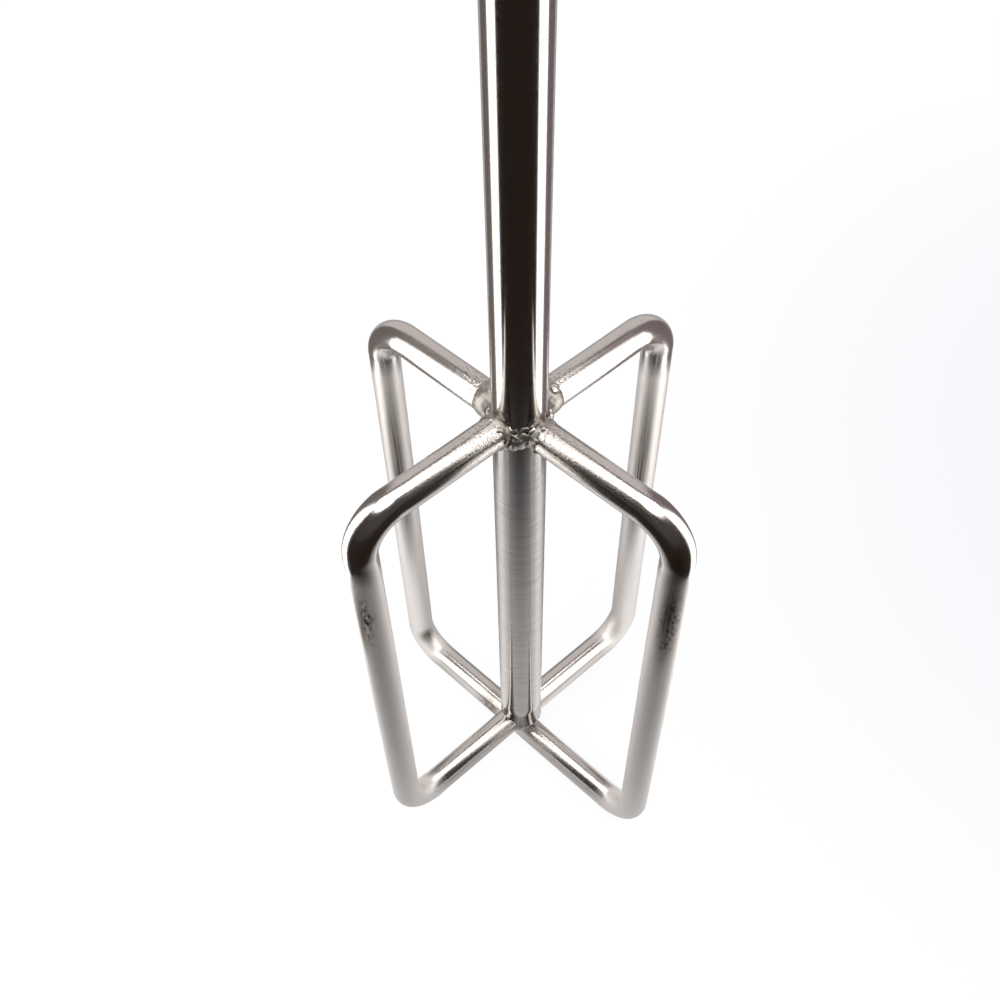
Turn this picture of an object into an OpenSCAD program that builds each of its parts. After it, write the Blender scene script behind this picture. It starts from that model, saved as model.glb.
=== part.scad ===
// Drill paint mixer: a round shaft with two bent-wire hoops crossed under
// its lower end, and the welds that hold them.
// Millimetres, +Z up the shaft, origin on the shaft's axis at the lowest point
// of the lower hoop. The lower hoop runs along X and the upper hoop along Y.

/* [Shaft] */
// Diameter of the plain round shaft, which the drill chuck grips
shaft_d = 8; // [7.5:0.5:10]
// Overall length of the tool, from the lowest hoop to the top of the shaft
tool_length = 400; // [250:10:600]
// Chamfer round the shaft's top end
end_chamfer = 0.8; // [0.3:0.1:1.5]

/* [Hoops] */
// Diameter of the round hoop wire
wire_d = 5; // [4:0.5:5.5]
// Shaft axis to leg centreline
cage_r = 29.5; // [24:0.1:45]
// Upper hoop, bottom bar to top bars, centreline to centreline
hoop_h = 88.5; // [60:0.5:140]
// How much lower the lower hoop's top bars are than the upper hoop's
top_step = 1; // [0:0.1:2]
// Centreline radius of the bends under the top bars
top_bend_r = 6; // [5:0.5:12]
// Centreline radius of the bends at the feet
foot_bend_r = 6.5; // [5:0.5:12]
// Angle that each hoop is turned off square, towards the other one
off_square = 1.8; // [0:0.1:4]

/* [Welds] */
// How far a root weld reaches along its bar from the shaft
root_reach = 3; // [1.5:0.1:4]
// Height of a root weld above its bar, against the shaft
root_rise = 0.4; // [0.3:0.1:0.5]
// Radius of one ripple in a seam weld
ripple_r = 1.9; // [1.5:0.1:2.2]
// Ripples in each seam weld
ripple_count = 4; // [3:1:6]
// How far the top welds bite into the shaft all round
bite = 0.2; // [0.2:0.05:0.4]
// Radius of the weld in each corner under the shaft
corner_r = 2.3; // [2:0.1:2.6]

/* [Hidden] */
$fn = 64;

shaft_r = shaft_d / 2;
wire_r = wire_d / 2;
lower_foot_z = wire_r;                     // centreline of the lower hoop's bottom bar
upper_foot_z = lower_foot_z + wire_d;      // the upper hoop's rests on it
upper_top_z = upper_foot_z + hoop_h;
lower_top_z = upper_top_z - top_step;
shaft_end_z = upper_foot_z;                // the shaft's end is saddled over the upper hoop
root_edge = 0.1;                           // a root weld's thickness at its outer end
root_taper = (root_rise - root_edge) / root_reach;
root_r = wire_r + root_rise + shaft_r * root_taper;    // its cone's radius at the shaft's axis
neck_r = shaft_r - bite;                   // the shaft where the top welds bite into it
seam_r = neck_r - 0.1;                     // shaft axis to the middle of a seam's ripples
neck_margin = 0.2;                         // how far the bite runs past the root welds
neck_from_z = lower_top_z - root_r - neck_margin;
neck_to_z = upper_top_z + root_r + neck_margin;
lower_turn = off_square;
upper_turn = 90 - off_square;
right_bar = [lower_turn, lower_top_z];     // direction and height of each top bar
back_bar = [upper_turn, upper_top_z];
left_bar = [180 + lower_turn, lower_top_z];
front_bar = [180 + upper_turn, upper_top_z];
steel = [0.74, 0.73, 0.71];
satin_steel = [0.66, 0.65, 0.64];
weld_steel = [0.56, 0.54, 0.51];

// A straight wire along X at height z, from one distance off the axis to another
module bar(z, from, to) {
    translate([from, 0, z]) rotate([0, 90, 0]) cylinder(h = to - from, r = wire_r);
}

// A quarter bend in the XZ plane about (x, z), starting at an angle above X
module bend(x, z, bend_r, from) {
    translate([x, 0, z]) rotate([90, 0, 0]) rotate([0, 0, from])
        rotate_extrude(angle = 90) translate([bend_r, 0]) circle(r = wire_r);
}

// Top bar, bend, leg, bend and half of the bottom bar, on the +X side
module half_hoop(top_z, foot_z) {
    bar(top_z, shaft_r / 2, cage_r - top_bend_r);
    bend(cage_r - top_bend_r, top_z - top_bend_r, top_bend_r, 0);
    translate([cage_r, 0, foot_z + foot_bend_r])
        cylinder(h = top_z - top_bend_r - foot_z - foot_bend_r, r = wire_r);
    bend(cage_r - foot_bend_r, foot_z + foot_bend_r, foot_bend_r, -90);
    bar(foot_z, 0, cage_r - foot_bend_r);
}

// The length of shaft that the top bars and their welds are joined to
module neck() {
    translate([0, 0, neck_from_z]) cylinder(h = neck_to_z - neck_from_z, r = neck_r);
}

module hoop(turn, top_z, foot_z) {
    difference() {
        for (side = [0, 180]) rotate([0, 0, turn + side]) half_hoop(top_z, foot_z);
        neck();
    }
}

module shaft() {
    color(satin_steel) difference() {
        union() {
            translate([0, 0, shaft_end_z])
                cylinder(h = neck_from_z - shaft_end_z, r = shaft_r);
            neck();
            translate([0, 0, neck_to_z])
                cylinder(h = tool_length - end_chamfer - neck_to_z, r = shaft_r);
            translate([0, 0, tool_length - end_chamfer])
                cylinder(h = end_chamfer, r1 = shaft_r, r2 = shaft_r - end_chamfer);
        }
        rotate([0, 0, upper_turn]) bar(upper_foot_z, -cage_r, cage_r);
    }
}

module upper_hoop() { color(steel) hoop(upper_turn, upper_top_z, upper_foot_z); }
module lower_hoop() { color(steel) hoop(lower_turn, lower_top_z, lower_foot_z); }

// The cone of weld metal round one top bar, run on inwards to the shaft's axis
module root_cone(top_bar) {
    rotate([0, 0, top_bar[0]]) translate([0, 0, top_bar[1]]) rotate([0, 90, 0])
        cylinder(h = shaft_r + root_reach, r1 = root_r, r2 = wire_r + root_edge);
}

module root_weld(top_bar) {
    color(weld_steel) difference() {
        root_cone(top_bar);
        rotate([0, 0, top_bar[0]]) bar(top_bar[1], -wire_r, cage_r);
        neck();
    }
}

module left_bar_root_weld() { root_weld(left_bar); }
module right_bar_root_weld() { root_weld(right_bar); }
module front_bar_root_weld() { root_weld(front_bar); }
module back_bar_root_weld() { root_weld(back_bar); }

// Cuts its children back to the face of one top bar and its root weld
module cut_by_bar(top_bar) {
    difference() {
        children();
        rotate([0, 0, top_bar[0]]) bar(top_bar[1], -wire_r, cage_r);
        root_cone(top_bar);
    }
}

// Overlapping ripples that fill the crotch between two neighbouring top bars
module seam_weld(bar_a, bar_b) {
    middle = (bar_a[0] + bar_b[0]) / 2;
    middle_z = (upper_top_z + lower_top_z) / 2;
    color(weld_steel) cut_by_bar(bar_a) cut_by_bar(bar_b) difference() {
        for (i = [0 : ripple_count - 1]) {
            step = i - (ripple_count - 1) / 2;
            rotate([0, 0, middle + 5 * step]) translate([seam_r, 0, middle_z + 0.5 * step])
                sphere(r = ripple_r);
        }
        neck();
    }
}

module front_right_seam_weld() { seam_weld(front_bar, right_bar + [360, 0]); }
module back_right_seam_weld() { seam_weld(right_bar, back_bar); }
module back_left_seam_weld() { seam_weld(back_bar, left_bar); }
module front_left_seam_weld() { seam_weld(left_bar, front_bar); }

// Weld in one corner under the shaft, where the two hoops cross
module corner_weld(turn) {
    color(weld_steel) difference() {
        rotate([0, 0, turn]) translate([shaft_r - 0.4, 0, shaft_end_z - 1.2]) sphere(r = corner_r);
        shaft_and_bars();
    }
}

// The shaft's end and the two bottom bars, which the corner welds are cut to fit
module shaft_and_bars() {
    translate([0, 0, shaft_end_z]) cylinder(h = hoop_h / 2, r = shaft_r);
    rotate([0, 0, upper_turn]) bar(upper_foot_z, -cage_r, cage_r);
    rotate([0, 0, lower_turn]) bar(lower_foot_z, -cage_r, cage_r);
}

module front_right_corner_weld() { corner_weld(-45); }
module back_right_corner_weld() { corner_weld(45); }
module back_left_corner_weld() { corner_weld(135); }
module front_left_corner_weld() { corner_weld(225); }

shaft();
upper_hoop();
lower_hoop();
left_bar_root_weld();
right_bar_root_weld();
front_bar_root_weld();
back_bar_root_weld();
front_right_seam_weld();
back_right_seam_weld();
back_left_seam_weld();
front_left_seam_weld();
front_right_corner_weld();
back_right_corner_weld();
back_left_corner_weld();
front_left_corner_weld();
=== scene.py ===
import bpy, bmesh, math
from mathutils import Matrix, Vector, noise


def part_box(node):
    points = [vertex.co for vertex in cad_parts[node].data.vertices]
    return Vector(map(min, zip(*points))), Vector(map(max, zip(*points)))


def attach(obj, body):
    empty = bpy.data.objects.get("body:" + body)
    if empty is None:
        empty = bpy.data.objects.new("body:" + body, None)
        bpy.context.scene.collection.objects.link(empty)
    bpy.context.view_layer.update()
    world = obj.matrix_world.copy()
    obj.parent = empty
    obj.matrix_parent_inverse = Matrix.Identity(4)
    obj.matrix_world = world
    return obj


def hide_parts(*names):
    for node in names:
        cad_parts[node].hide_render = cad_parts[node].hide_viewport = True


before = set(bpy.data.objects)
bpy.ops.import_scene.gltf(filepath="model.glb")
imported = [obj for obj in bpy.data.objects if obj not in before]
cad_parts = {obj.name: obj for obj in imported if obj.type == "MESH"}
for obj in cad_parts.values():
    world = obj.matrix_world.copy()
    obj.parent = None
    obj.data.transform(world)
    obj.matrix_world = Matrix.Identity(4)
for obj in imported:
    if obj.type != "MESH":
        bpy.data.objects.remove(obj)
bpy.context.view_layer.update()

mm = 0.001
scene = bpy.context.scene
scene.view_settings.view_transform = "Standard"


def hexToLinear(code, strength=1.0):
    parts = [int(code[i:i + 2], 16) / 255 for i in (1, 3, 5)]
    linear = [p / 12.92 if p <= 0.04045 else ((p + 0.055) / 1.055) ** 2.4 for p in parts]
    return (*[v * strength for v in linear], 1.0)


def addNode(tree, kind, settings=None, values=None, links=None):
    # settings are the node's own properties, values go on its sockets, links bring in other outputs
    node = tree.nodes.new(kind)
    for key, value in (settings or {}).items():
        setattr(node, key, value)
    for key, value in (values or {}).items():
        node.inputs[key].default_value = value
    for key, output in (links or {}).items():
        tree.links.new(output, node.inputs[key])
    return node


def newMaterial(name):
    material = bpy.data.materials.new(name)
    material.use_nodes = True
    material.node_tree.nodes.clear()
    return material, material.node_tree


def addObject(name, bm, material, smooth=True):
    mesh = bpy.data.meshes.new(name)
    bm.to_mesh(mesh)
    bm.free()
    for polygon in mesh.polygons:
        polygon.use_smooth = smooth
    piece = bpy.data.objects.new(name, mesh)
    scene.collection.objects.link(piece)
    mesh.materials.append(material)
    return piece


def ringAt(bm, place, across, up, radius, sides, squeeze=1.0):
    # one ring of verts about a point; across and up are unit vectors in the ring's plane
    ring = []
    for i in range(sides):
        angle = 2 * math.pi * i / sides
        offset = across * math.cos(angle) / squeeze + up * math.sin(angle) * squeeze
        ring.append(bm.verts.new(place + offset * radius))
    return ring


def joinRings(bm, rings):
    for a, b in zip(rings, rings[1:]):
        count = len(a)
        for i in range(count):
            j = (i + 1) % count
            bm.faces.new((a[i], a[j], b[j], b[i]))


# ---- camera: it stands close and looks steeply down the shaft at the cage
view = {
    "around": 45.4,      # degrees from -Y towards +X
    "distance": 0.10874,  # from the shaft's axis
    "height": 0.21415,
    "pitch": 51.69,
    "pan": 1.63,
    "roll": -1.56,
    "lens": 40.58,
}


def addCamera():
    data = bpy.data.cameras.new("camera")
    data.lens = view["lens"]
    data.sensor_width = 36
    data.clip_start = 0.005
    camera = bpy.data.objects.new("camera", data)
    scene.collection.objects.link(camera)
    around = Matrix.Rotation(math.radians(view["around"]), 4, "Z")
    pan = Matrix.Rotation(math.radians(view["around"] + view["pan"]), 4, "Z")
    tip = Matrix.Rotation(math.radians(90 - view["pitch"]), 4, "X")
    roll = Matrix.Rotation(math.radians(view["roll"]), 4, "Z")
    place = around @ Vector((0, -view["distance"], view["height"]))
    camera.matrix_world = Matrix.Translation(place) @ pan @ tip @ roll
    scene.camera = camera
    print("camera placed")


addCamera()

# ---- stage: a glowing opal floor, an overhead softbox, and cards that only the metal's reflections see
stage = {
    "floor": "#FFFFFF",
    # painted shade: round bluestAt the sheet is darker and bluer, out to blueReach
    "floorShadeBlue": "#E9EAEF",
    "bluestAt": (0.11, 0.19, 0),
    "blueReach": 0.3,
    "floorRadius": 3.5,       # beyond it the sheet sweeps up into a wall all round
    "sweep": 2.0,
    "floorGlow": 0.94,        # the opal sheet is lit from below, so the feet cast hardly any shadow
    "floorSkin": 0.06,        # how much of the light from above its satin skin scatters
    "room": "#F2ECEA",
    "roomStrength": 0.9,
    "softboxHeight": 1.2,
    "softboxRadius": 1.7,
    "softboxAhead": 1.2,      # its middle is this far in front of the tool, so its back rim shows in the bars
    "rimWidth": 0.3,
    "softboxPower": 2.6,      # radiance, so that the metal's highlights just clip
    "cardRadius": 0.07,
    "cardTop": 0.21,
    "flareRadius": 0.21,      # above their tops the cards lean out, so the whole shaft mirrors them
    "flareTop": 0.45,
}
# upright cards by angle from the front: black in front, bright at each side, a thin dark edge behind those
cards = {
    "blackFlag": {"from": -67, "to": 65, "foot": 0.022, "colour": "#2A211B", "strength": 1.0},
    "brightCardRight": {"from": 65, "to": 99, "foot": 0.022, "colour": "#FFFCF8", "strength": 2.8},
    "brightCardLeft": {"from": -99, "to": -67, "foot": 0.022, "colour": "#FFFCF8", "strength": 2.8},
    "cardEdgeRight": {"from": 99, "to": 138, "foot": 0.006, "colour": "#86797C", "strength": 1.0},
    "cardEdgeLeft": {"from": -138, "to": -99, "foot": 0.006, "colour": "#7E7875", "strength": 1.0},
}
# the table as the metal sees it, as (share of the way, brightness): outwards from the shaft, and from back to front
tableGlow = {
    "size": 0.1,              # m, the whole way outwards
    "front": [(0.05, 0.62), (0.22, 0.56), (0.42, 0.38), (0.72, 0.11), (1.0, 0.03)],
    "rear": [(0.0, 0.45), (0.4, 0.28), (0.75, 0.25), (1.0, 0.5)],
    "sideways": 1.15,
    "turn": [(0.0, 0.0), (0.15, 0.15), (0.32, 0.8), (0.5, 1.0), (0.68, 0.6), (0.85, 0.22), (1.0, 0.0)],
}


def glowMaterial(name, colour, strength):
    material, tree = newMaterial(name)
    glow = addNode(tree, "ShaderNodeEmission", values={"Color": hexToLinear(colour), "Strength": strength})
    addNode(tree, "ShaderNodeOutputMaterial", links={"Surface": glow.outputs[0]})
    return material


def hideFromAllButReflections(thing):
    thing.visible_camera = False
    thing.visible_diffuse = False
    thing.visible_shadow = False
    thing.visible_transmission = False


def addCard(name, look):
    # a curved card round the shaft's axis, upright and then flared
    material = glowMaterial(name, look["colour"], look["strength"])
    profile = [(stage["cardRadius"], look["foot"]), (stage["cardRadius"], stage["cardTop"]),
               (stage["flareRadius"], stage["flareTop"])]
    bm = bmesh.new()
    columns = []
    steps = 24
    for i in range(steps + 1):
        angle = math.radians(view["around"] - 90 + look["from"] + (look["to"] - look["from"]) * i / steps)
        columns.append([bm.verts.new((r * math.cos(angle), r * math.sin(angle), z)) for r, z in profile])
    for a, b in zip(columns, columns[1:]):
        for k in range(len(profile) - 1):
            bm.faces.new((a[k], b[k], b[k + 1], a[k + 1]))
    hideFromAllButReflections(addObject(name, bm, material))


def grayRamp(tree, stops, factor):
    node = addNode(tree, "ShaderNodeValToRGB", links={"Fac": factor})
    points = node.color_ramp.elements
    while len(points) < len(stops):
        points.new(0.5)
    for point, (place, level) in zip(points, stops):
        point.position = place
        point.color = (level, level, level, 1.0)
    return node.outputs["Color"]


def addTableCard():
    # the near table is in the holder's shadow, so the steel mirrors it darker than the lens sees it
    material, tree = newMaterial("shadedTable")
    place = addNode(tree, "ShaderNodeTexCoord")
    flat = addNode(tree, "ShaderNodeVectorMath", {"operation": "MULTIPLY"}, {1: (1, 1, 0)},
                   {0: place.outputs["Object"]})
    out = addNode(tree, "ShaderNodeVectorMath", {"operation": "LENGTH"}, links={0: flat.outputs[0]})
    share = addNode(tree, "ShaderNodeMath", {"operation": "DIVIDE"}, {1: tableGlow["size"]},
                    {0: out.outputs["Value"]})
    heading = addNode(tree, "ShaderNodeVectorMath", {"operation": "NORMALIZE"}, links={0: flat.outputs[0]})
    angle = math.radians(view["around"])
    ahead = addNode(tree, "ShaderNodeVectorMath", {"operation": "DOT_PRODUCT"},
                    {1: (math.sin(angle), -math.cos(angle), 0)}, {0: heading.outputs[0]})
    turn = addNode(tree, "ShaderNodeMapRange", values={"From Min": -1.0}, links={"Value": ahead.outputs["Value"]})
    isAhead = addNode(tree, "ShaderNodeMath", {"operation": "GREATER_THAN"}, {1: 0.5}, {0: turn.outputs[0]})
    ends = addNode(tree, "ShaderNodeMix", {"data_type": "RGBA"},
                   links={"Factor": isAhead.outputs[0], "A": grayRamp(tree, tableGlow["rear"], share.outputs[0]),
                          "B": grayRamp(tree, tableGlow["front"], share.outputs[0])})
    side = addNode(tree, "ShaderNodeMix", {"data_type": "RGBA"}, {"B": (tableGlow["sideways"],) * 3 + (1.0,)},
                   {"Factor": grayRamp(tree, tableGlow["turn"], turn.outputs[0]), "A": ends.outputs["Result"]})
    glow = addNode(tree, "ShaderNodeEmission", links={"Color": side.outputs["Result"]})
    addNode(tree, "ShaderNodeOutputMaterial", links={"Surface": glow.outputs[0]})
    bm = bmesh.new()
    bmesh.ops.create_grid(bm, x_segments=1, y_segments=1, size=4.0)
    table = addObject("tableCard", bm, material)
    table.location.z = 0.02 * mm
    hideFromAllButReflections(table)


def addSoftbox():
    lamp = bpy.data.lights.new("softbox", "AREA")
    lamp.shape = "DISK"
    radius = stage["softboxRadius"]
    lamp.size = 2 * radius
    lamp.energy = stage["softboxPower"] * math.pi ** 2 * radius ** 2
    softbox = bpy.data.objects.new("softbox", lamp)
    angle = math.radians(view["around"])
    ahead = Vector((math.sin(angle), -math.cos(angle), 0)) * stage["softboxAhead"]
    softbox.location = ahead + Vector((0, 0, stage["softboxHeight"]))
    softbox.visible_camera = False
    scene.collection.objects.link(softbox)
    # its black fabric rim, which draws a thin dark line beside the highlights
    bm = bmesh.new()
    across, up = Vector((1, 0, 0)), Vector((0, 1, 0))
    middle = softbox.location
    inner = ringAt(bm, middle, across, up, radius, 64)
    outer = ringAt(bm, middle, across, up, radius + stage["rimWidth"], 64)
    joinRings(bm, [inner, outer])
    hideFromAllButReflections(addObject("softboxRim", bm, glowMaterial("blackFabricRim", "#2A2422", 1.0)))


def addStage():
    # opal acrylic sheet: satin and lit through, so it is as bright as the room; on one side a painted shade makes it
    # faintly darker and bluer
    material, tree = newMaterial("opalAcrylicSheet")
    place = addNode(tree, "ShaderNodeTexCoord").outputs["Object"]
    off = addNode(tree, "ShaderNodeVectorMath", {"operation": "DISTANCE"}, {1: stage["bluestAt"]}, {0: place})
    fade = addNode(tree, "ShaderNodeMapRange", {"interpolation_type": "SMOOTHSTEP"},
                   {"From Min": 0.0, "From Max": stage["blueReach"], "To Min": 1.0, "To Max": 0.0},
                   {"Value": off.outputs["Value"]})
    tint = addNode(tree, "ShaderNodeMix", {"data_type": "RGBA"},
                   {"A": hexToLinear(stage["floor"]), "B": hexToLinear(stage["floorShadeBlue"])},
                   {"Factor": fade.outputs[0]})
    skin = stage["floorSkin"]
    sheet = addNode(tree, "ShaderNodeBsdfPrincipled",
                    values={"Base Color": (skin, skin, skin, 1), "Roughness": 0.6, "Specular IOR Level": 0.0,
                            "Emission Strength": stage["floorGlow"]},
                    links={"Emission Color": tint.outputs["Result"]})
    addNode(tree, "ShaderNodeOutputMaterial", links={"Surface": sheet.outputs[0]})
    bm = bmesh.new()
    across, up = Vector((1, 0, 0)), Vector((0, 1, 0))
    sweep = stage["sweep"]
    rings = [ringAt(bm, Vector((0, 0, 0)), across, up, r, 96) for r in (0.3, 1.0, stage["floorRadius"])]
    for i in range(1, 13):
        angle = math.pi / 2 * i / 12
        rise = Vector((0, 0, sweep * (1 - math.cos(angle))))
        rings.append(ringAt(bm, rise, across, up, stage["floorRadius"] + sweep * math.sin(angle), 96))
    rings.append(ringAt(bm, rise * 2, across, up, stage["floorRadius"] + sweep, 96))
    bm.faces.new(rings[0])
    joinRings(bm, rings[::-1])      # from the outside in, so that every face looks up and inwards
    floor = addObject("floor", bm, material)
    floor.visible_glossy = False      # the steel mirrors the shaded table card instead

    world = bpy.data.worlds.new("room")
    world.use_nodes = True
    world.node_tree.nodes.clear()
    sky = addNode(world.node_tree, "ShaderNodeBackground",
                  values={"Color": hexToLinear(stage["room"]), "Strength": stage["roomStrength"]})
    addNode(world.node_tree, "ShaderNodeOutputWorld", links={"Surface": sky.outputs[0]})
    scene.world = world

    addSoftbox()
    addTableCard()
    for name, look in cards.items():
        addCard(name, look)
    print("stage set")


addStage()

# ---- steel: bare stainless, so its colour is mostly what it mirrors; how it was worked gives it its lines


def spotsNear(tree, place, centre, reach, tall=1.0):
    # 1 at a point of the piece, falling to 0 at reach mm from it, or tall times as far up and down
    x, y, z = [v * mm for v in centre]
    squashed = addNode(tree, "ShaderNodeMapping", values={"Scale": (1, 1, 1 / tall)}, links={"Vector": place})
    gap = addNode(tree, "ShaderNodeVectorMath", {"operation": "DISTANCE"}, {1: (x, y, z / tall)},
                  {0: squashed.outputs[0]})
    fade = addNode(tree, "ShaderNodeMapRange", {"interpolation_type": "SMOOTHSTEP"},
                   {"From Min": 0.0, "From Max": reach * mm, "To Min": 1.0, "To Max": 0.0},
                   {"Value": gap.outputs["Value"]})
    return fade.outputs[0]


def between(tree, value, low, high):
    # 0 at low mm, 1 at high mm
    share = addNode(tree, "ShaderNodeMapRange", values={"From Min": low * mm, "From Max": high * mm},
                    links={"Value": value})
    return share.outputs[0]


def times(tree, a, b):
    return addNode(tree, "ShaderNodeMath", {"operation": "MULTIPLY", "use_clamp": True}, links={0: a, 1: b}).outputs[0]


def speckle(tree, place, size, least, detail=2.0):
    # grains of about size mm: 0 on clean metal, 1 on a grain
    grains = addNode(tree, "ShaderNodeTexNoise", values={"Scale": 1 / (size * mm), "Detail": detail, "Roughness": 0.65},
                     links={"Vector": place})
    cut = addNode(tree, "ShaderNodeMapRange", values={"From Min": least, "From Max": least + 0.08},
                  links={"Value": grains.outputs["Fac"]})
    return cut.outputs[0]


def softPatches(tree, place, size):
    # cloudy patches of about size mm, 0 to 1
    clouds = addNode(tree, "ShaderNodeTexNoise", values={"Scale": 1 / (size * mm), "Detail": 1.0},
                     links={"Vector": place})
    spread = addNode(tree, "ShaderNodeMapRange", values={"From Min": 0.35, "From Max": 0.65},
                     links={"Value": clouds.outputs["Fac"]})
    return spread.outputs[0]


shaftLook = {
    "colour": "#C4C0BD",
    "dull": "#8E8883",
    "roughness": 0.13,
    "lineSpacing": 0.18,   # mm; real grinding lines are nearer 0.03 and wouldn't show
    "lineDepth": 0.002,    # mm
    "lineShade": 0.45,
    "anisotropic": 0.75,
    "turn": 0.25,          # of a turn: the lines run round the bar, so the gloss spreads along it
    "tint": "#8A6A58",     # straw to brown where the weld's heat reached
    "tintReach": 7.0,
}


def groundSteel(name, look, jointZ):
    # centreless-ground bar: very fine lines round it soften what it mirrors upwards and downwards only
    material, tree = newMaterial(name)
    place = addNode(tree, "ShaderNodeTexCoord").outputs["Object"]
    spacing = 1 / (look["lineSpacing"] * mm)
    stretch = addNode(tree, "ShaderNodeMapping", values={"Scale": (spacing / 40, spacing / 40, spacing)},
                      links={"Vector": place})
    lines = addNode(tree, "ShaderNodeTexNoise", values={"Scale": 1.0, "Detail": 3.0, "Roughness": 0.6},
                    links={"Vector": stretch.outputs[0]}).outputs["Fac"]
    rough = addNode(tree, "ShaderNodeMapRange", values={"From Min": 0.3, "From Max": 0.7,
                    "To Min": look["roughness"] - 0.03, "To Max": look["roughness"] + 0.05}, links={"Value": lines})
    bump = addNode(tree, "ShaderNodeBump", values={"Strength": 1.0, "Distance": look["lineDepth"] * mm},
                   links={"Height": lines})
    soot = times(tree, spotsNear(tree, place, (0, 0, jointZ), look["tintReach"]), speckle(tree, place, 0.5, 0.46))
    worn = addNode(tree, "ShaderNodeMix", {"data_type": "RGBA"}, {"A": hexToLinear(look["colour"]),
                   "B": hexToLinear(look["tint"])}, {"Factor": soot}).outputs["Result"]
    shade = addNode(tree, "ShaderNodeMapRange", values={"From Min": 0.45, "From Max": 0.7, "To Max": look["lineShade"]},
                    links={"Value": lines}).outputs[0]
    lined = addNode(tree, "ShaderNodeMix", {"data_type": "RGBA"}, {"B": hexToLinear(look["dull"])},
                    {"A": worn, "Factor": shade}).outputs["Result"]
    colour = addNode(tree, "ShaderNodeMix", {"data_type": "RGBA"}, {"B": hexToLinear(look["dull"])},
                     {"A": lined, "Factor": speckle(tree, place, 0.45, 0.68)}).outputs["Result"]
    around = addNode(tree, "ShaderNodeTangent", {"direction_type": "RADIAL", "axis": "Z"})
    metal = addNode(tree, "ShaderNodeBsdfPrincipled",
                    values={"Metallic": 1.0, "Anisotropic": look["anisotropic"], "Anisotropic Rotation": look["turn"]},
                    links={"Base Color": colour, "Roughness": rough.outputs[0], "Normal": bump.outputs[0],
                           "Tangent": around.outputs[0]})
    addNode(tree, "ShaderNodeOutputMaterial", links={"Surface": metal.outputs[0]})
    return material


wireLook = {
    "colour": "#CDC8C4",
    # the legs' colour is lighter than the bars': a painted sheen for the light their satin finish catches
    "legColourWithPaintedSheen": "#E9E5E2",
    "dull": "#7D7670",
    # soot also colours the painted reflections, the dark streaks down the legs
    "soot": "#4A3D33",
    "roughness": 0.17,
    "legRoughness": 0.54,  # the legs are left satin; the bars and bends above and below them are buffed bright
    "satinOut": (21.0, 25.0),    # mm from the axis, over which the satin comes in
    "satinUp": (89.0, 85.0),     # mm up the tool, over which it comes in below the top bends
    "lineWidth": 0.16,     # mm across a drawn line; real die lines are nearer 0.02 and wouldn't show
    "lineLength": 14.0,
    "lineDepth": 0.002,
    "pitSize": 0.22,       # polishing grit's pits, drawn about twice as coarse as they are
    "pitDepth": 0.012,
    "spatterSize": 0.24,
    "spatterDepth": 0.06,
    "sootReach": 17.0,
    "tint": "#A08A6C",
    "tintReach": 9.0,
}
# marks on the hoops: where, how far and how dense, in mm; the three near the legs' tops are painted reflections of dark
# surroundings, the two on the top and bottom bars are scuffs
scuffsAndPaintedReflections = [
    {"at": (0.5, -31.5, 77), "reach": 1.1, "tall": 9, "least": 0.46},      # painted reflection: a dark streak down a leg
    {"at": (1.3, -31.3, 78), "reach": 1.3, "tall": 1.2, "least": 0.42},
    {"at": (31.2, -0.9, 76), "reach": 2.2, "tall": 6, "least": 0.5},
    # scuffs on the bars
    {"at": (-9.5, -1, 97), "reach": 3.2, "tall": 1, "least": 0.6},
    {"at": (-7, -1.5, 2), "reach": 5.0, "tall": 1, "least": 0.36},
]


# soft dark marks, streaky along the wire: the four down the legs are painted reflections of dark surroundings, the two
# on the bottom bar and its bend are smudges
smudgesAndPaintedReflections = [
    # painted reflections: dark streaks down the legs
    {"at": (30.9, -1.1, 79), "reach": 1.9, "tall": 11, "least": 0.75},
    {"at": (-0.4, -31.9, 76), "reach": 1.0, "tall": 14, "least": 0.25},
    {"at": (-27.6, -2.6, 62), "reach": 2.1, "tall": 17, "least": 0.55},
    {"at": (2.3, 27.4, 62), "reach": 1.9, "tall": 17, "least": 0.45},
    # smudges low on the bottom bar and its bend
    {"at": (-26.8, -1.6, 7.2), "reach": 2.6, "tall": 1, "least": 0.75},
    {"at": (-5.5, -1.5, 1.5), "reach": 3.2, "tall": 1, "least": 0.7},
]


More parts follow.
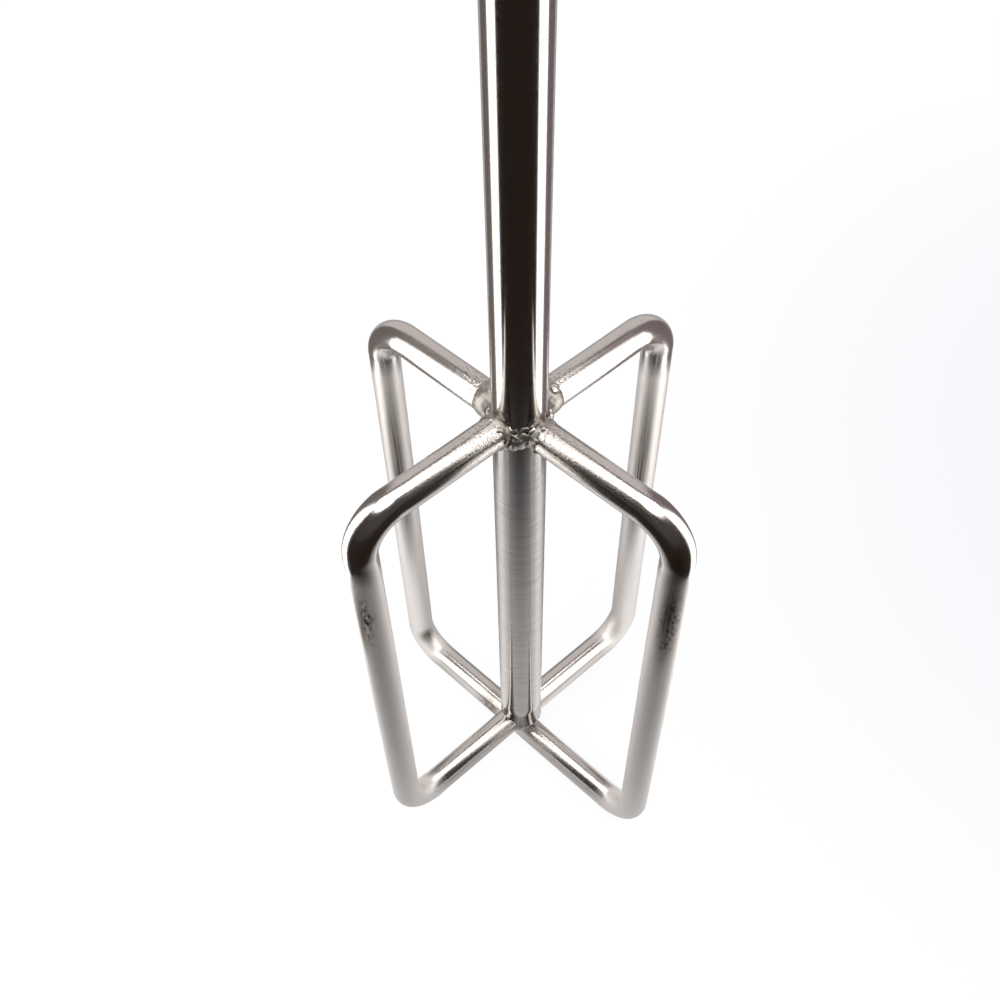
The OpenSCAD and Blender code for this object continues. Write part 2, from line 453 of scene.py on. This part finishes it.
def drawnSteel(name, look, jointZ):
    # bright drawn and buffed wire: long faint die lines along it and fine pits all over
    material, tree = newMaterial(name)
    place = addNode(tree, "ShaderNodeTexCoord").outputs["Object"]
    along = addNode(tree, "ShaderNodeAttribute", {"attribute_name": "alongWire"}).outputs["Vector"]
    stretch = addNode(tree, "ShaderNodeMapping", values={"Scale": (1 / (look["lineLength"] * mm),
                      1 / (look["lineWidth"] * mm), 1 / (look["lineWidth"] * mm))}, links={"Vector": along})
    lines = addNode(tree, "ShaderNodeTexNoise", values={"Scale": 1.0, "Detail": 2.0},
                    links={"Vector": stretch.outputs[0]}).outputs["Fac"]
    pits = addNode(tree, "ShaderNodeTexNoise", values={"Scale": 1 / (look["pitSize"] * mm), "Detail": 2.0},
                   links={"Vector": place}).outputs["Fac"]
    lineBump = addNode(tree, "ShaderNodeBump", values={"Distance": look["lineDepth"] * mm}, links={"Height": lines})
    bump = addNode(tree, "ShaderNodeBump", values={"Distance": look["pitDepth"] * mm},
                   links={"Height": pits, "Normal": lineBump.outputs[0]})
    flat = addNode(tree, "ShaderNodeVectorMath", {"operation": "MULTIPLY"}, {1: (1, 1, 0)}, {0: place})
    reach = addNode(tree, "ShaderNodeVectorMath", {"operation": "LENGTH"}, links={0: flat.outputs[0]})
    height = addNode(tree, "ShaderNodeSeparateXYZ", links={"Vector": place}).outputs["Z"]
    satin = times(tree, between(tree, reach.outputs["Value"], *look["satinOut"]),
                  between(tree, height, *look["satinUp"]))
    finish = addNode(tree, "ShaderNodeMapRange", values={"To Min": look["roughness"], "To Max": look["legRoughness"]},
                     links={"Value": satin}).outputs[0]
    change = addNode(tree, "ShaderNodeMapRange", values={"From Min": 0.3, "From Max": 0.7, "To Min": -0.04,
                     "To Max": 0.06}, links={"Value": lines}).outputs[0]
    rough = addNode(tree, "ShaderNodeMath", {"operation": "ADD"}, links={0: finish, 1: change})
    nearJoint = spotsNear(tree, place, (0, -1, jointZ), look["sootReach"])
    grit = addNode(tree, "ShaderNodeTexNoise", values={"Scale": 1 / (look["spatterSize"] * mm), "Detail": 2.0},
                   links={"Vector": place}).outputs["Fac"]
    bump = addNode(tree, "ShaderNodeBump", values={"Distance": look["spatterDepth"] * mm},
                   links={"Height": grit, "Strength": nearJoint, "Normal": bump.outputs[0]})
    heat = times(tree, spotsNear(tree, place, (0, 0, jointZ), look["tintReach"]), softPatches(tree, place, 2.2))
    # the satin legs are painted lighter: a painted sheen on top of their real satin finish
    bare = addNode(tree, "ShaderNodeMix", {"data_type": "RGBA"}, {"A": hexToLinear(look["colour"]),
                   "B": hexToLinear(look["legColourWithPaintedSheen"])}, {"Factor": satin}).outputs["Result"]
    colour = addNode(tree, "ShaderNodeMix", {"data_type": "RGBA"}, {"B": hexToLinear(look["tint"])},
                     {"A": bare, "Factor": heat}).outputs["Result"]
    drawn = addNode(tree, "ShaderNodeMapping", values={"Scale": (0.35, 1, 1)}, links={"Vector": along}).outputs[0]
    marks = [times(tree, nearJoint, speckle(tree, place, 0.3, 0.54))]
    marks += [times(tree, spotsNear(tree, place, darkStreak["at"], darkStreak["reach"], darkStreak["tall"]),
                    addNode(tree, "ShaderNodeMapRange", values={"From Min": 0.3, "From Max": 0.6, "To Min": darkStreak["least"]},
                            links={"Value": lines}).outputs[0]) for darkStreak in smudgesAndPaintedReflections]
    marks += [times(tree, spotsNear(tree, place, spot["at"], spot["reach"], spot["tall"]),
                    speckle(tree, drawn, 0.4, spot["least"])) for spot in scuffsAndPaintedReflections]
    # the marks: real soot near the joint, smudges and scuffs, and painted reflections streaked down the legs
    for mark in marks:
        colour = addNode(tree, "ShaderNodeMix", {"data_type": "RGBA"}, {"B": hexToLinear(look["soot"])},
                         {"A": colour, "Factor": mark}).outputs["Result"]
    specks = speckle(tree, place, 0.4, 0.7)
    colour = addNode(tree, "ShaderNodeMix", {"data_type": "RGBA"}, {"B": hexToLinear(look["dull"])},
                     {"A": colour, "Factor": specks}).outputs["Result"]
    metal = addNode(tree, "ShaderNodeBsdfPrincipled", values={"Metallic": 1.0},
                    links={"Base Color": colour, "Roughness": rough.outputs[0], "Normal": bump.outputs[0]})
    addNode(tree, "ShaderNodeOutputMaterial", links={"Surface": metal.outputs[0]})
    return material


weldLook = {
    "colour": "#CBC8C4",
    "scale": "#3B332E",      # thin oxide left in the hollows
    "straw": "#A5A19C",
    "roughness": 0.3,
    "grain": 0.3,
    "grainDepth": 0.012,
}


# the collars were blasted with arc heat from both sides, so they are greyer and duller
collarLook = {**weldLook, "colour": "#A8A39D", "straw": "#8E8983", "roughness": 0.36}


def weldedSteel(name, look):
    # arc-laid weld metal: rippled and bright on its crowns, with straw tint and dark oxide in its hollows
    material, tree = newMaterial(name)
    place = addNode(tree, "ShaderNodeTexCoord").outputs["Object"]
    hollow = addNode(tree, "ShaderNodeNewGeometry").outputs["Pointiness"]
    deep = addNode(tree, "ShaderNodeMapRange", values={"From Min": 0.42, "From Max": 0.5, "To Min": 1.0, "To Max": 0.0},
                   links={"Value": hollow}).outputs[0]
    grain = addNode(tree, "ShaderNodeTexNoise", values={"Scale": 1 / (look["grain"] * mm), "Detail": 3.0},
                    links={"Vector": place}).outputs["Fac"]
    patches = softPatches(tree, place, 1.6)
    colour = addNode(tree, "ShaderNodeMix", {"data_type": "RGBA"}, {"A": hexToLinear(look["colour"]),
                     "B": hexToLinear(look["straw"])}, {"Factor": patches}).outputs["Result"]
    colour = addNode(tree, "ShaderNodeMix", {"data_type": "RGBA"}, {"B": hexToLinear(look["scale"])},
                     {"A": colour, "Factor": deep}).outputs["Result"]
    rough = addNode(tree, "ShaderNodeMapRange", values={"From Min": 0.3, "From Max": 0.7,
                    "To Min": look["roughness"] - 0.06, "To Max": look["roughness"] + 0.12}, links={"Value": grain})
    bump = addNode(tree, "ShaderNodeBump", values={"Distance": look["grainDepth"] * mm}, links={"Height": grain})
    metal = addNode(tree, "ShaderNodeBsdfPrincipled", values={"Metallic": 1.0},
                    links={"Base Color": colour, "Roughness": rough.outputs[0], "Normal": bump.outputs[0]})
    addNode(tree, "ShaderNodeOutputMaterial", links={"Surface": metal.outputs[0]})
    return material


jointZ = (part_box("upper_hoop")[1].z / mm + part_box("lower_hoop")[1].z / mm) / 2 - 2.5
shaftSteel = groundSteel("centrelessGroundStainless", shaftLook, jointZ)
hoopSteel = drawnSteel("brightDrawnStainlessWire", wireLook, jointZ)
weldSteel = weldedSteel("arcWeldedStainless", weldLook)
collarSteel = weldedSteel("heatGreyedStainlessWeld", collarLook)

# ---- shaft
shaftShape = {"sides": 96, "chamfer": 0.8, "rings": 60}
shaftLow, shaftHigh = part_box("shaft")
shaftRadius = (shaftHigh.x - shaftLow.x) / 2
shaftTop = shaftHigh.z


def makeShaft():
    bm = bmesh.new()
    x, y = Vector((1, 0, 0)), Vector((0, 1, 0))
    chamfer = shaftShape["chamfer"] * mm
    low = shaftLow.z
    stations = [(low, shaftRadius)]
    count = shaftShape["rings"]
    stations += [(low + (shaftTop - chamfer - low) * i / count, shaftRadius) for i in range(1, count)]
    stations += [(shaftTop - chamfer - 0.1 * mm, shaftRadius), (shaftTop - chamfer, shaftRadius - 0.03 * mm),
                 (shaftTop - 0.05 * mm, shaftRadius - chamfer + 0.02 * mm), (shaftTop, shaftRadius - chamfer - 0.1 * mm)]
    rings = [ringAt(bm, Vector((0, 0, z)), x, y, r, shaftShape["sides"]) for z, r in stations]
    joinRings(bm, rings)
    bm.faces.new(list(reversed(rings[0])))
    bm.faces.new(rings[-1])
    shaft = addObject("shaftRod", bm, shaftSteel)
    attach(shaft, "root")
    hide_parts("shaft")
    print("shaft made")


makeShaft()

# ---- hoops
hoopShape = {
    "sides": 48,
    "wire": 5.0,
    "topBend": 6.0,      # centreline radius, mm
    "footBend": 6.5,
    "reach": 29.5,       # shaft axis to leg centreline
    "offSquare": 1.8,    # degrees each hoop is turned towards the other
    "bendSteps": 16,
    "step": 2.0,         # mm between rings on the straights
    "bendSqueeze": 0.2,  # how much a bend flattens the wire: its share at a bend of 1 mm radius
    "wander": 0.07,      # mm, handmade unevenness of the run
    "wanderLength": 24.0,
}


def hoopPath(topZ, footZ):
    # one side of a hoop in its own plane, from the shaft out, down and back in, as (x, z) in mm
    reach, top, foot = hoopShape["reach"], hoopShape["topBend"], hoopShape["footBend"]
    steps = hoopShape["bendSteps"]
    path = []

    def straight(a, b):
        count = max(2, round(math.dist(a, b) / hoopShape["step"]))
        for i in range(count):
            path.append((a[0] + (b[0] - a[0]) * i / count, a[1] + (b[1] - a[1]) * i / count, 0.0))

    def bend(cx, cz, radius, start, stop):
        for i in range(steps):
            angle = math.radians(start + (stop - start) * i / steps)
            path.append((cx + radius * math.cos(angle), cz + radius * math.sin(angle), 1 / radius if i else 0.0))

    straight((2.0, topZ), (reach - top, topZ))
    bend(reach - top, topZ - top, top, 90, 0)
    straight((reach, topZ - top), (reach, footZ + foot))
    bend(reach - foot, footZ + foot, foot, 0, -90)
    straight((reach - foot, footZ), (0, footZ))
    return path


def makeHoop(name, node, turn, topZ, footZ):
    half = hoopPath(topZ, footZ)
    path = half + [(0, footZ, 0.0)] + [(-x, z, curve) for x, z, curve in reversed(half)]
    across = Matrix.Rotation(math.radians(turn), 3, "Z")
    sideways = across @ Vector((0, 1, 0))
    bm = bmesh.new()
    alongWire = bm.verts.layers.float_vector.new("alongWire")
    radius = hoopShape["wire"] / 2 * mm
    rings = []
    run = 0.0
    for i, (x, z, curve) in enumerate(path):
        a = path[max(i - 1, 0)]
        b = path[min(i + 1, len(path) - 1)]
        if i:
            run += math.hypot(x - a[0], z - a[1]) * mm
        heading = Vector((b[0] - a[0], 0, b[1] - a[1])).normalized()
        normal = across @ Vector((heading.z, 0, -heading.x))
        drift = noise.noise(Vector((run / (hoopShape["wanderLength"] * mm), turn, 0))) * hoopShape["wander"]
        place = (across @ Vector((x, 0, z)) + sideways * drift) * mm
        ring = ringAt(bm, place, sideways, normal, radius, hoopShape["sides"], 1 - hoopShape["bendSqueeze"] * curve)
        for j, vert in enumerate(ring):
            angle = 2 * math.pi * j / len(ring)
            vert[alongWire] = (run, radius * math.cos(angle), radius * math.sin(angle))
        rings.append(ring)
    joinRings(bm, rings)
    bm.faces.new(list(reversed(rings[0])))
    bm.faces.new(rings[-1])
    bmesh.ops.recalc_face_normals(bm, faces=bm.faces)
    hoop = addObject(name, bm, hoopSteel)
    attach(hoop, "root")
    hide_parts(node)


wireRadius = hoopShape["wire"] / 2
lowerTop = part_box("lower_hoop")[1].z / mm - wireRadius
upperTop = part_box("upper_hoop")[1].z / mm - wireRadius
lowerFoot = wireRadius
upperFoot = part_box("upper_hoop")[0].z / mm + wireRadius
makeHoop("upperHoopWire", "upper_hoop", 90 - hoopShape["offSquare"], upperTop, upperFoot)
makeHoop("lowerHoopWire", "lower_hoop", hoopShape["offSquare"], lowerTop, lowerFoot)
print("hoops made")

# ---- welds: lumps of metal are laid over each other, fused, softened and pitted
fusing = {
    "voxel": 0.11,     # mm
    "relax": 2,
    "grain": 0.9,
    "grainDepth": 0.07,
}


def lump(centre, radii, turn=0.0, lean=0.0, roll=0.0):
    # an ellipsoid of weld metal in mm: lean about Y, then roll about X, then turned about Z
    spin = Matrix.Rotation(math.radians(turn), 4, "Z") @ Matrix.Rotation(math.radians(roll), 4, "X")
    spin = spin @ Matrix.Rotation(math.radians(lean), 4, "Y")
    return Matrix.Translation(Vector(centre)) @ spin @ Matrix.Diagonal((*radii, 1))


def makeWeld(name, node, placing, lumps, pits, material, uneven=1.0):
    # lumps and pits are in the weld's own frame; placing puts that frame on the tool
    bm = bmesh.new()
    for shape in lumps:
        bmesh.ops.create_icosphere(bm, subdivisions=3, radius=1.0, matrix=shape)
    rough = bpy.data.meshes.new("lumps")
    bm.to_mesh(rough)
    bm.free()
    draft = bpy.data.objects.new("lumps", rough)
    scene.collection.objects.link(draft)
    remesh = draft.modifiers.new("fuse", "REMESH")
    remesh.mode = "VOXEL"
    remesh.voxel_size = fusing["voxel"]
    soften = draft.modifiers.new("soften", "SMOOTH")
    soften.factor = 0.5
    soften.iterations = fusing["relax"]
    fused = draft.evaluated_get(bpy.context.evaluated_depsgraph_get())
    bm = bmesh.new()
    bm.from_mesh(fused.to_mesh())
    bpy.data.objects.remove(draft)
    moves = []
    for vert in bm.verts:
        depth = noise.noise(vert.co / fusing["grain"]) * fusing["grainDepth"] * uneven
        for centre, reach, deep in pits:
            near = (vert.co - Vector(centre)).length / reach
            if near < 1:
                depth -= deep * (1 - near * near) ** 2
        moves.append(vert.normal * depth)
    for vert, move in zip(bm.verts, moves):
        vert.co += move
    bmesh.ops.transform(bm, matrix=Matrix.Scale(mm, 4) @ placing, verts=bm.verts)
    weld = addObject(name, bm, material)
    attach(weld, "root")
    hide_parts(node)


def facing(turn, z):
    # the weld's own X points away from the shaft at this angle, and Y runs round it
    return Matrix.Translation((0, 0, z)) @ Matrix.Rotation(math.radians(turn), 4, "Z")


# each seam fills the crotch between two top bars; two rows of ripples are laid one over the next across it
seamShape = {
    "rows": [{"z": 0.25, "ripples": 4, "width": 3.6, "radius": 1.1, "overlap": -28},
             {"z": -1.0, "ripples": 6, "width": 4.8, "radius": 1.25, "overlap": 34}],
    "thick": 0.42,
    "proud": 4.35,
}
seams = [
    {"name": "frontRightSeamBead", "node": "front_right_seam_weld", "turn": -45, "climb": 0.9, "seed": 3,
     "pits": [((5.3, 0.7, 0.75), 1.0, 0.5), ((5.0, -1.9, 1.2), 0.7, 0.45), ((5.0, 2.3, -0.6), 0.6, 0.4)]},
    {"name": "backRightSeamBead", "node": "back_right_seam_weld", "turn": 45, "climb": -0.6, "seed": 11,
     "pits": [((5.0, 1.4, 0.9), 0.8, 0.35)]},
    {"name": "backLeftSeamBead", "node": "back_left_seam_weld", "turn": 135, "climb": 0.7, "seed": 23,
     "pits": [((5.1, -0.5, 0.4), 0.9, 0.3)]},
    {"name": "frontLeftSeamBead", "node": "front_left_seam_weld", "turn": 225, "climb": -0.8, "seed": 31,
     "pits": [((4.9, 1.5, 1.5), 0.8, 0.5), ((5.1, 0.3, 0.9), 0.6, 0.3)]},
]


def makeSeam(look):
    lumps = [lump((3.6, 0, -0.7), (0.9, 2.2, 1.5)), lump((3.85, 0.3, 1.9), (0.2, 1.2, 0.16)),
             lump((3.7, -2.0, 0.6), (0.9, 0.8, 1.3)), lump((3.7, 2.0, 0.6), (0.9, 0.8, 1.3))]
    for row in seamShape["rows"]:
        for i in range(row["ripples"]):
            share = i / (row["ripples"] - 1) - 0.5
            wobble = noise.noise_vector(Vector((look["seed"] + i, 0.5 + row["z"], 0.5)))
            centre = (seamShape["proud"] - 1.4 * share * share + 0.12 * wobble.x,
                      row["width"] * share + 0.2 * wobble.y,
                      row["z"] + look["climb"] * share + 0.25 * wobble.z)
            size = row["radius"] * (1 + 0.2 * wobble.x)
            lumps.append(lump(centre, (seamShape["thick"], size * 0.7, size), turn=row["overlap"], lean=10))
    makeWeld(look["name"], look["node"], facing(look["turn"], jointZ), lumps, look["pits"], weldSteel)


# each root is a collar of weld metal round a top bar where it meets the shaft
roots = [
    {"name": "leftRootCollar", "node": "left_bar_root_weld", "turn": 180 + hoopShape["offSquare"], "z": lowerTop,
     "reach": 3.3, "proud": 0.42, "seed": 5, "lumps": 0, "pits": []},
    {"name": "rightRootCollar", "node": "right_bar_root_weld", "turn": hoopShape["offSquare"], "z": lowerTop,
     "reach": 1.5, "proud": 0.16, "seed": 9, "lumps": 7, "pits": []},
    {"name": "frontRootCollar", "node": "front_bar_root_weld", "turn": 270 - hoopShape["offSquare"], "z": upperTop,
     "reach": 1.3, "proud": 0.16, "seed": 14, "lumps": 7, "pits": []},
    {"name": "backRootCollar", "node": "back_bar_root_weld", "turn": 90 - hoopShape["offSquare"], "z": upperTop,
     "reach": 2.6, "proud": 0.32, "seed": 19, "lumps": 3, "pits": [((5.6, -1.4, 2.3), 0.9, 0.35)]},
]


def makeRoot(look):
    # one smooth bulge round the bar's end, with low lumps along its outer edge
    radius = wireRadius + look["proud"]
    half = 0.62 * look["reach"] / math.sqrt(1 - (wireRadius / radius) ** 2)
    lumps = [lump((4 + 0.35 * look["reach"], 0, 0), (half, radius, radius))]
    for i in range(look["lumps"]):
        angle = 2 * math.pi * i / look["lumps"]
        wobble = noise.noise_vector(Vector((look["seed"] + i * 0.9, 0.3, 0.8)))
        out = wireRadius - 0.35 + 0.12 * wobble.y
        centre = (4 + look["reach"] * (0.72 + 0.3 * wobble.x), out * math.cos(angle), out * math.sin(angle))
        lumps.append(lump(centre, (0.7, 0.6, 0.6)))
    makeWeld(look["name"], look["node"], facing(look["turn"], look["z"]), lumps, look["pits"], collarSteel, 0.4)


# each corner is a small fillet in the angle between the two bottom bars, under the shaft's end
corners = [
    {"name": "frontRightCornerFillet", "node": "front_right_corner_weld", "turn": -45, "spatter": []},
    {"name": "backRightCornerFillet", "node": "back_right_corner_weld", "turn": 45, "spatter": []},
    {"name": "backLeftCornerFillet", "node": "back_left_corner_weld", "turn": 135, "spatter": []},
    {"name": "frontLeftCornerFillet", "node": "front_left_corner_weld", "turn": 225,
     "spatter": [lump((7.6, -4.6, -4.6), (0.6, 0.5, 0.5))]},
]


def makeCorner(look):
    lumps = [lump((2.9, 0, -0.9), (1.25, 1.5, 1.1)), lump((3.3, 1.1, -0.2), (0.7, 0.8, 0.55)),
             lump((3.2, -1.2, -0.3), (0.7, 0.8, 0.5))]
    place = facing(look["turn"], shaftLow.z / mm)
    makeWeld(look["name"], look["node"], place, lumps + look["spatter"], [], weldSteel)


for look in seams:
    makeSeam(look)
for look in roots:
    makeRoot(look)
for look in corners:
    makeCorner(look)
print("welds made")
